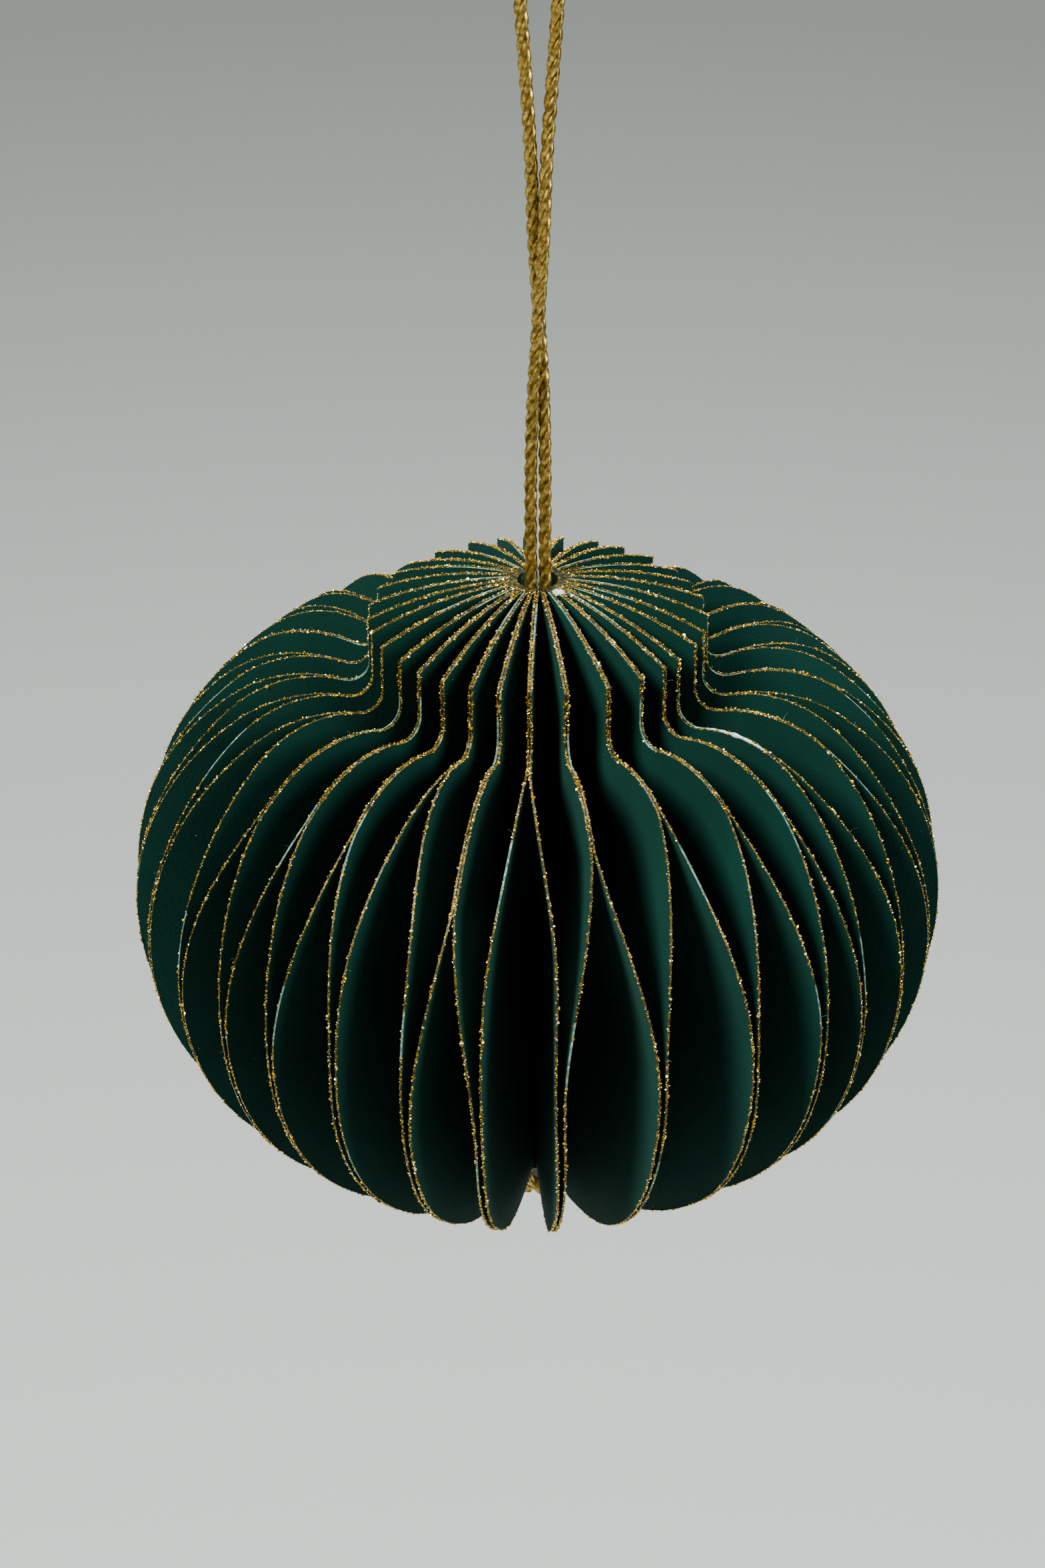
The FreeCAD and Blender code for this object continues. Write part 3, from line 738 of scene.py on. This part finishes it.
def add_rope(build, path, phase=0.0):
    """Three twisted plies round a path, each ply ridged by its own filaments."""
    side, over = frames_along(path)
    steps = np.linalg.norm(np.diff(path, axis=0), axis=1)
    along = np.concatenate([[0], np.cumsum(steps)])
    ply_radius = PLY_SHARE * CORD_DIAMETER
    swing_radius = 0.5 * CORD_DIAMETER - ply_radius
    around = np.linspace(0, 2 * math.pi, PLY_SPOKES, endpoint=False)
    for ply in range(PLIES):
        turn = phase - 2 * math.pi * (along / LAY + ply / PLIES)
        wobble = 1 + 0.05 * np.sin(along / LAY * 5.1 + ply * 2 + phase)
        out = side * np.cos(turn)[:, None] + over * np.sin(turn)[:, None]
        middle = path + out * (swing_radius * wobble)[:, None]
        ridge = 1 + RIDGE_HEIGHT * np.cos(RIDGES * (around[None] - 0.8 * turn[:, None]))
        c = np.cos(around)[None] * ridge * ply_radius
        s = np.sin(around)[None] * ridge * ply_radius
        points = middle[:, None] + side[:, None] * c[..., None] + over[:, None] * s[..., None]
        build.add(points, tube_faces(len(path), PLY_SPOKES), 0)
        build.add(points[0], [np.arange(PLY_SPOKES)[::-1]], 0)
        build.add(points[-1], [np.arange(PLY_SPOKES)], 0)


KNOT_TURNS = 2.7
KNOT_RADIUS = 1.3 * MM
KNOT_HEIGHT = 2.5 * MM
WRAP_STEPS = 26
WRAP_START = 0.6 * MM     # how far below the knot's top its first wrap lies
# In mm from the middle of the knot's top: the strand that crosses the wraps, and the tails' ends.
CROSSING = [(0.2, -0.6, -0.3), (-1.0, -1.45, -0.8), (-0.2, -1.85, -1.8), (0.9, -1.5, -2.8),
            (0.3, -0.5, -3.3)]
TAIL_ENDS = [(-0.9, 0.1, -3.9), (0.75, -0.2, -4.0)]
FRAY_THREADS = 16


def make_knot():
    """An overhand knot in the doubled cord: wraps, a crossing strand, and two frayed tails."""
    top = Vector((0, 0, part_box("end_knot")[1].z))
    build = Build()
    wrap = []
    for i in range(WRAP_STEPS + 1):
        angle = 2 * math.pi * KNOT_TURNS * i / WRAP_STEPS
        tuck = min(1.0, i / 3, (WRAP_STEPS - i) / 3)
        out = KNOT_RADIUS * (0.25 + 0.75 * tuck)
        level = -WRAP_START - KNOT_HEIGHT * i / WRAP_STEPS + 0.12 * out * math.cos(angle)
        wrap.append(top + Vector((out * math.cos(angle), out * math.sin(angle), level)))
    strands = [wrap, [top + Vector(p) * MM for p in CROSSING]]
    for end in TAIL_ENDS:
        side = math.copysign(0.5, end[0])
        strands.append([top + Vector(p) * MM for p in ((side, 0, -1.2), (side, 0, -2.6), end)])
    for number, strand in enumerate(strands):
        add_rope(build, spline_points(strand, KNOT_STEP), phase=number)
    for number, end in enumerate(TAIL_ENDS):
        add_fray(build, top + Vector(end) * MM, FRAY_SEED + number)
    obj = build.finish("overhand_knot", [CORD_GOLD], [0])
    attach(obj, "hanger")
    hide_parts("end_knot")
    return obj


def add_fray(build, end, seed):
    """Loose filaments that splay out of a cut end."""
    local = np.random.default_rng(seed)
    for _ in range(FRAY_THREADS):
        lean = Vector((*local.normal(0, 0.45, 2), -1.0)).normalized()
        start = end + Vector((*local.normal(0, 0.14, 2), 0.35)) * MM
        reach = local.uniform(0.3, 0.55) * MM
        path = np.array([start + lean * reach * t for t in (0.0, 0.5, 1.0)])
        add_lump(build, path, np.array([0.06, 0.05, 0.03]) * MM, 1.0)


def make_cord(knot):
    """The doubled cord, from the knot up one leg, over the hook and down the other."""
    leg = [Vector(p) * MM for p in CORD_LEG]
    other_leg = [Vector((-p.x, -p.y, p.z)) for p in reversed(leg)]
    path = spline_points(leg + [Vector(CORD_TOP) * MM] + other_leg, CORD_STEP)
    build = Build()
    add_rope(build, path)
    obj = build.finish("twisted_cord", [CORD_GOLD], [0])
    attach(obj, "hanger")
    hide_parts("hanging_cord")


def dress(node, material):
    """A CAD node that is right as it is, in its own material."""
    frame["nodes"][node].data.materials.clear()
    frame["nodes"][node].data.materials.append(material)

# ---------------------------------------------------------------- surroundings


def make_plane(name, size, location, rotation, material):
    bpy.ops.mesh.primitive_plane_add(size=size, location=location, rotation=rotation)
    plane = bpy.context.object
    plane.name = name
    plane.data.materials.append(material)


def make_light(name, location, size, power, colour=(1, 1, 1)):
    data = bpy.data.lights.new(name, "AREA")
    data.shape = "DISK"
    data.size = size
    data.energy = power
    data.color = colour
    light = bpy.data.objects.new(name, data)
    bpy.context.scene.collection.objects.link(light)
    light.location = Vector(location) + CENTRE
    light.rotation_euler = (CENTRE - light.location).to_track_quat("-Z", "Y").to_euler()


def make_surroundings():
    pale = plain_material("pale floor", (0.62, 0.66, 0.63), 0.9)
    make_plane("floor", 6.0, (0, 0, -0.45), (0, 0, 0), pale)
    make_plane("backdrop", 6.0, (0, 1.6, 0), (math.radians(90), 0, 0), pale)
    make_light("key", (-0.5, -0.4, 0.62), 0.4, 11.0, (1.0, 0.98, 0.95))
    make_light("fill", (0.65, -0.35, 0.4), 0.5, 6.0, (0.95, 0.98, 1.0))
    make_light("top", (0.05, 0.35, 0.75), 0.45, 6.0)
    world = bpy.data.worlds.new("world")
    world.use_nodes = True
    world.node_tree.nodes["Background"].inputs["Color"].default_value = (0.8, 0.85, 0.83, 1)
    world.node_tree.nodes["Background"].inputs["Strength"].default_value = 0.2
    bpy.context.scene.world = world
    bpy.context.scene.view_settings.view_transform = "AgX"
    bpy.context.scene.view_settings.look = "AgX - Medium High Contrast"


make_cord(make_knot())
for index in range(COUNT):
    make_sheet(index)
make_pads("upper_glue_spots", NECK_PAD_NEAR, OUTER_FACE, glued_pair)
make_pads("lower_glue_spots", LOW_PAD_NEAR, INNER_FACE, own_halves)
make_spilt_glue()
dress("stop_washer", GREY_BOARD)
make_surroundings()
